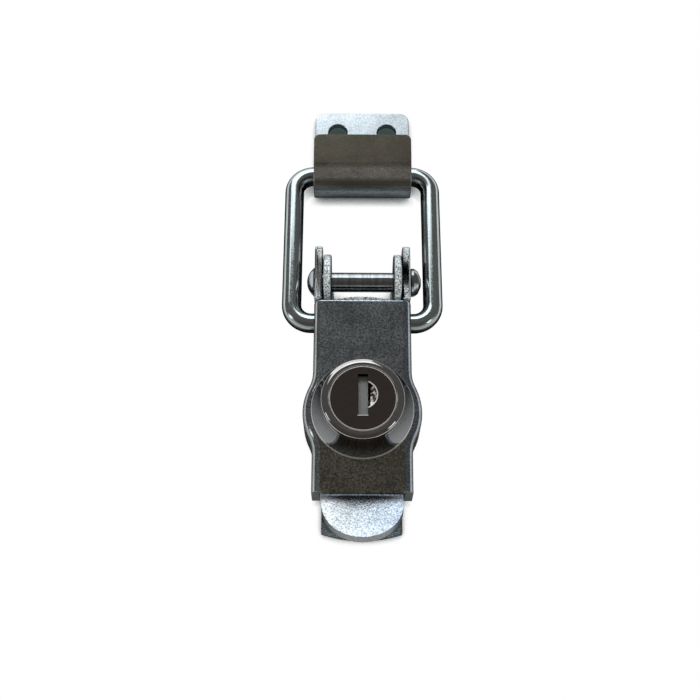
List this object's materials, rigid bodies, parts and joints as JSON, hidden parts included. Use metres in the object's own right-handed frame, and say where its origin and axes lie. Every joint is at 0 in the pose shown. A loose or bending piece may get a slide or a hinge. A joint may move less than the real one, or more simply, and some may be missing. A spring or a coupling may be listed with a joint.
{
  "type": "over-centre latch",
  "caption": "Lockable over-centre latch: a pressed lever on a riveted base draws a wire bail into a hooked keeper, and a keyed lock in the lever holds it shut.",
  "frame": {"origin": "centre of the base's four screw holes, on the mounting plane", "axes": "+X across the latch, to the right as the lever is lifted towards the keeper; +Y from the finger tongue to the keeper; +Z out of the mounting plane"},
  "size_m": [0.041, 0.1232, 0.0237],
  "materials": {
    "zinc_plate": "bright zinc plate, finely speckled",
    "zinc_lever": "bright zinc plate, finely speckled, dark in the face",
    "zinc_rivet": "bright zinc plate, turned",
    "zinc_wire": "bright zinc plate on drawn wire",
    "zinc_keeper": "bright zinc plate, finely speckled, matt on the hook",
    "chrome": "mirror chrome plate",
    "chrome_face": "mirror chrome plate, lightly marked by the key",
    "shutter_steel": "plain steel",
    "wafer_brass": "stamped brass",
    "inner_steel": "zinc plate"
  },
  "bodies": {
    "root": {"base_plate": "zinc_plate", "pivot_rivet": "zinc_rivet", "keeper": "zinc_keeper"},
    "lever": {"lever": "zinc_lever", "lock_housing": "chrome", "housing_washer": "inner_steel", "housing_nut": "inner_steel"},
    "bail": {"bail": "zinc_wire"},
    "plug": {"lock_plug": "chrome_face", "wafer_1": "wafer_brass", "wafer_2": "wafer_brass", "wafer_3": "wafer_brass", "wafer_4": "wafer_brass", "wafer_5": "wafer_brass", "lock_cam": "inner_steel", "cam_washer": "inner_steel", "cam_screw": "inner_steel"},
    "shutter": {"keyway_shutter": "shutter_steel"}
  },
  "joints": [
    {"name": "lever_pivot", "type": "hinge", "parent": "root", "child": "lever", "pos_m": [0, 0.0414, 0.0095], "axis": [-1, 0, 0], "range_deg": [0, 110]},
    {"name": "bail_pivot", "type": "hinge", "parent": "lever", "child": "bail", "pos_m": [0, 0.0309, 0.0075], "axis": [-1, 0, 0], "range_deg": [-120, 0]},
    {"name": "lock_turn", "type": "hinge", "parent": "lever", "child": "plug", "pos_m": [0, 0.0057, 0.0067], "axis": [0, 0, -1], "range_deg": [0, 90]},
    {"name": "shutter_turn", "type": "hinge", "parent": "plug", "child": "shutter", "pos_m": [0.0016, 0.0066, 0.02188], "axis": [0, -1, 0], "range_deg": [0, 85], "stiffness_Nm_per_rad": 0.0002, "springref_deg": -28.65}
  ],
  "couplings": [
    {"joint": "bail_pivot", "follows": "lever_pivot", "ratio": -0.85}
  ]
}
